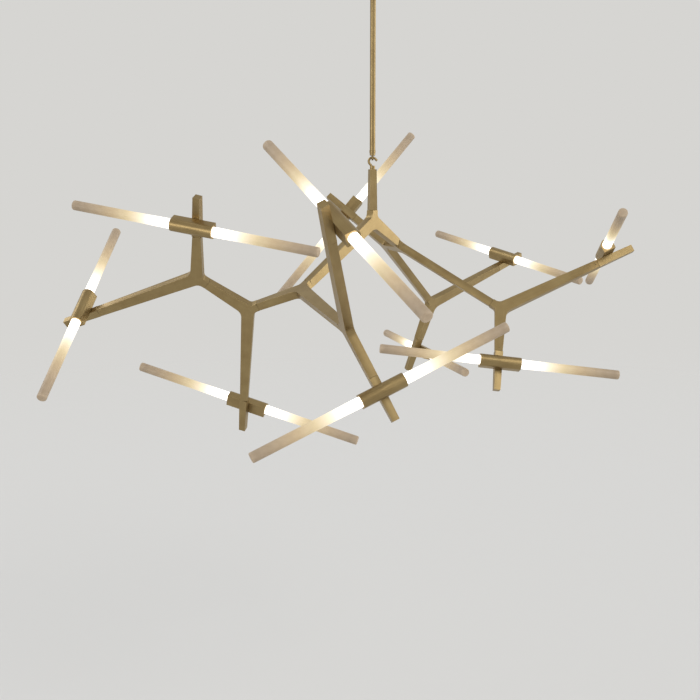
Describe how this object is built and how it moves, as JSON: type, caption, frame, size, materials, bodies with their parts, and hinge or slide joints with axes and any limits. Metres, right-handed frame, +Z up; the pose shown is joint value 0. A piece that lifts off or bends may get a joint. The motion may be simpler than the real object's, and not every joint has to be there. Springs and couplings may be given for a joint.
{
  "type": "branching pendant light",
  "caption": "Branching pendant light: a hook in the eye of a rod carries a tree of metal Y modules whose tapered tips hold pairs of frosted glass tube lights that turn.",
  "frame": {"origin": "middle of the ceiling plate's top face, where it meets the ceiling", "axes": "+Z up towards the ceiling, +X to the right and +Y away from the viewer of the picture"},
  "size_m": [1.6024, 1.9478, 1.3054],
  "materials": {
    "metal": "brushed champagne tone",
    "plate": "plain zinc-plated steel",
    "glass": "frosted, lit from inside",
    "lamp": "white lampholder with a lit lamp"
  },
  "bodies": {
    "ceiling_mount": {"ceiling_plate": "plate", "canopy": "metal", "canopy_collar": "metal", "rod": "metal", "rod_ferrule": "metal", "rod_eye": "metal"},
    "stem": {"stem_hook": "metal", "stem": "metal"},
    "module_1": {"y_module_1": "metal"},
    "module_2": {"y_module_2": "metal"},
    "module_3": {"y_module_3": "metal"},
    "module_4": {"y_module_4": "metal"},
    "module_5": {"y_module_5": "metal"},
    "module_6": {"y_module_6": "metal"},
    "module_7": {"y_module_7": "metal"},
    "module_8": {"y_module_8": "metal"},
    "module_9": {"y_module_9": "metal"},
    "finger_1": {"finger_1": "metal"},
    "finger_2": {"finger_2": "metal"},
    "finger_3": {"finger_3": "metal"},
    "finger_4": {"finger_4": "metal"},
    "finger_5": {"finger_5": "metal"},
    "finger_6": {"finger_6": "metal"},
    "finger_7": {"finger_7": "metal"},
    "finger_8": {"finger_8": "metal"},
    "finger_9": {"finger_9": "metal"},
    "finger_10": {"finger_10": "metal"},
    "light_1": {"holder_1": "metal", "glass_1": "glass", "lamp_1": "lamp"},
    "light_2": {"holder_2": "metal", "glass_2": "glass", "lamp_2": "lamp"},
    "light_3": {"holder_3": "metal", "glass_3": "glass", "lamp_3": "lamp"},
    "light_4": {"holder_4": "metal", "glass_4": "glass", "lamp_4": "lamp"},
    "light_5": {"holder_5": "metal", "glass_5": "glass", "lamp_5": "lamp"},
    "light_6": {"holder_6": "metal", "glass_6": "glass", "lamp_6": "lamp"},
    "light_7": {"holder_7": "metal", "glass_7": "glass", "lamp_7": "lamp"},
    "light_8": {"holder_8": "metal", "glass_8": "glass", "lamp_8": "lamp"},
    "light_9": {"holder_9": "metal", "glass_9": "glass", "lamp_9": "lamp"},
    "light_10": {"holder_10": "metal", "glass_10": "glass", "lamp_10": "lamp"}
  },
  "joints": [
    {"name": "hook_swing", "type": "hinge", "parent": "ceiling_mount", "child": "stem", "pos_m": [0, 0, -0.5022], "axis": [1, 0, 0], "range_deg": [-12, 12]},
    {"name": "module_1_swivel", "type": "hinge", "parent": "stem", "child": "module_1", "pos_m": [0, 0, -0.6467], "axis": [0, 0, 1], "range_deg": [-170, 170]},
    {"name": "module_2_swivel", "type": "hinge", "parent": "module_1", "child": "module_2", "pos_m": [0.07096, 0.08517, -0.7417], "axis": [-0.5544, -0.6654, 0.5], "range_deg": [-170, 170]},
    {"name": "module_3_swivel", "type": "hinge", "parent": "module_1", "child": "module_3", "pos_m": [-0.17185, -0.20626, -0.8327], "axis": [0.5544, 0.6654, 0.5], "range_deg": [-170, 170]},
    {"name": "module_4_swivel", "type": "hinge", "parent": "module_2", "child": "module_4", "pos_m": [0.05465, 0.22933, -0.75795], "axis": [0.2617, -0.9651, 0.0058], "range_deg": [-170, 170]},
    {"name": "module_5_swivel", "type": "hinge", "parent": "module_2", "child": "module_5", "pos_m": [0.34111, 0.01286, -0.91039], "axis": [-0.816, 0.2998, 0.4942], "range_deg": [-170, 170]},
    {"name": "module_6_swivel", "type": "hinge", "parent": "module_4", "child": "module_6", "pos_m": [0.19129, 0.45796, -0.94696], "axis": [-0.467, -0.641, 0.6091], "range_deg": [-170, 170]},
    {"name": "module_7_swivel", "type": "hinge", "parent": "module_3", "child": "module_7", "pos_m": [-0.30504, -0.19409, -0.89123], "axis": [0.9063, -0.2562, 0.3362], "range_deg": [-117, 38]},
    {"name": "module_8_swivel", "type": "hinge", "parent": "module_3", "child": "module_8", "pos_m": [-0.07994, -0.51258, -0.89898], "axis": [-0.3519, 0.9216, 0.1638], "range_deg": [-170, 170]},
    {"name": "module_9_swivel", "type": "hinge", "parent": "module_7", "child": "module_9", "pos_m": [-0.43702, -0.21158, -0.83135], "axis": [0.8117, 0.1987, -0.5493], "range_deg": [-170, 170]},
    {"name": "finger_1_swivel", "type": "hinge", "parent": "module_9", "child": "finger_1", "pos_m": [-0.45041, -0.27905, -0.70258], "axis": [0.092, -0.479, 0.873], "range_deg": [-160, 160]},
    {"name": "finger_2_swivel", "type": "hinge", "parent": "module_9", "child": "finger_2", "pos_m": [-0.74233, -0.13086, -0.91467], "axis": [-0.9037, 0.2803, -0.3237], "range_deg": [-100, 78]},
    {"name": "finger_3_swivel", "type": "hinge", "parent": "module_7", "child": "finger_3", "pos_m": [-0.36245, -0.0451, -1.17615], "axis": [-0.0946, 0.455, -0.8855], "range_deg": [-160, 160]},
    {"name": "finger_4_swivel", "type": "hinge", "parent": "module_8", "child": "finger_4", "pos_m": [-0.00963, -0.56835, -1.01412], "axis": [0.4641, -0.2125, -0.8599], "range_deg": [-160, 160]},
    {"name": "finger_5_swivel", "type": "hinge", "parent": "module_8", "child": "finger_5", "pos_m": [-0.10381, -0.76097, -0.68826], "axis": [-0.1122, -0.7091, 0.6961], "range_deg": [-160, 160]},
    {"name": "finger_6_swivel", "type": "hinge", "parent": "module_4", "child": "finger_6", "pos_m": [-0.04673, 0.30074, -0.6809], "axis": [-0.7287, 0.3241, 0.6033], "range_deg": [-160, 160]},
    {"name": "finger_7_swivel", "type": "hinge", "parent": "module_5", "child": "finger_7", "pos_m": [0.35485, -0.05341, -1.03975], "axis": [-0.0903, -0.4452, -0.8909], "range_deg": [-160, 160]},
    {"name": "finger_8_swivel", "type": "hinge", "parent": "module_6", "child": "finger_8", "pos_m": [0.16669, 0.49099, -1.08702], "axis": [-0.3053, 0.1028, -0.9467], "range_deg": [-160, 160]},
    {"name": "finger_9_swivel", "type": "hinge", "parent": "module_6", "child": "finger_9", "pos_m": [0.44518, 0.64467, -0.86121], "axis": [0.7723, 0.5382, 0.3375], "range_deg": [-160, 160]},
    {"name": "finger_10_swivel", "type": "hinge", "parent": "module_5", "child": "finger_10", "pos_m": [0.64738, 0.04863, -0.80273], "axis": [0.9064, 0.1454, 0.3967], "range_deg": [-160, 160]},
    {"name": "light_1_pivot", "type": "hinge", "parent": "finger_1", "child": "light_1", "pos_m": [-0.44691, -0.29725, -0.66941], "axis": [-0.3236, -0.8435, -0.4287], "range_deg": [-22, 25]},
    {"name": "light_2_pivot", "type": "hinge", "parent": "finger_2", "child": "light_2", "pos_m": [-0.77667, -0.12021, -0.92697], "axis": [-0.424, -0.4808, 0.7675], "range_deg": [-25, 25]},
    {"name": "light_3_pivot", "type": "hinge", "parent": "finger_3", "child": "light_3", "pos_m": [-0.36605, -0.02782, -1.2098], "axis": [0.293, 0.8628, 0.412], "range_deg": [-25, 25]},
    {"name": "light_4_pivot", "type": "hinge", "parent": "finger_4", "child": "light_4", "pos_m": [0.00801, -0.57642, -1.0468], "axis": [0.146, -0.9392, 0.3109], "range_deg": [-25, 25]},
    {"name": "light_5_pivot", "type": "hinge", "parent": "finger_5", "child": "light_5", "pos_m": [-0.10807, -0.78792, -0.6618], "axis": [0.8544, 0.2888, 0.4319], "range_deg": [-25, 25]},
    {"name": "light_6_pivot", "type": "hinge", "parent": "finger_6", "child": "light_6", "pos_m": [-0.07442, 0.31305, -0.65797], "axis": [0.0664, 0.9102, -0.4088], "range_deg": [-25, 25]},
    {"name": "light_7_pivot", "type": "hinge", "parent": "finger_7", "child": "light_7", "pos_m": [0.35142, -0.07033, -1.0736], "axis": [0.0932, -0.8944, 0.4375], "range_deg": [-25, 25]},
    {"name": "light_8_pivot", "type": "hinge", "parent": "finger_8", "child": "light_8", "pos_m": [0.15509, 0.49489, -1.12299], "axis": [0.9092, 0.327, -0.2577], "range_deg": [-25, 25]},
    {"name": "light_9_pivot", "type": "hinge", "parent": "finger_9", "child": "light_9", "pos_m": [0.47452, 0.66512, -0.84838], "axis": [-0.1564, -0.354, 0.9221], "range_deg": [-25, 25]},
    {"name": "light_10_pivot", "type": "hinge", "parent": "finger_10", "child": "light_10", "pos_m": [0.68182, 0.05415, -0.78766], "axis": [-0.422, 0.3589, 0.8326], "range_deg": [-25, 25]}
  ]
}
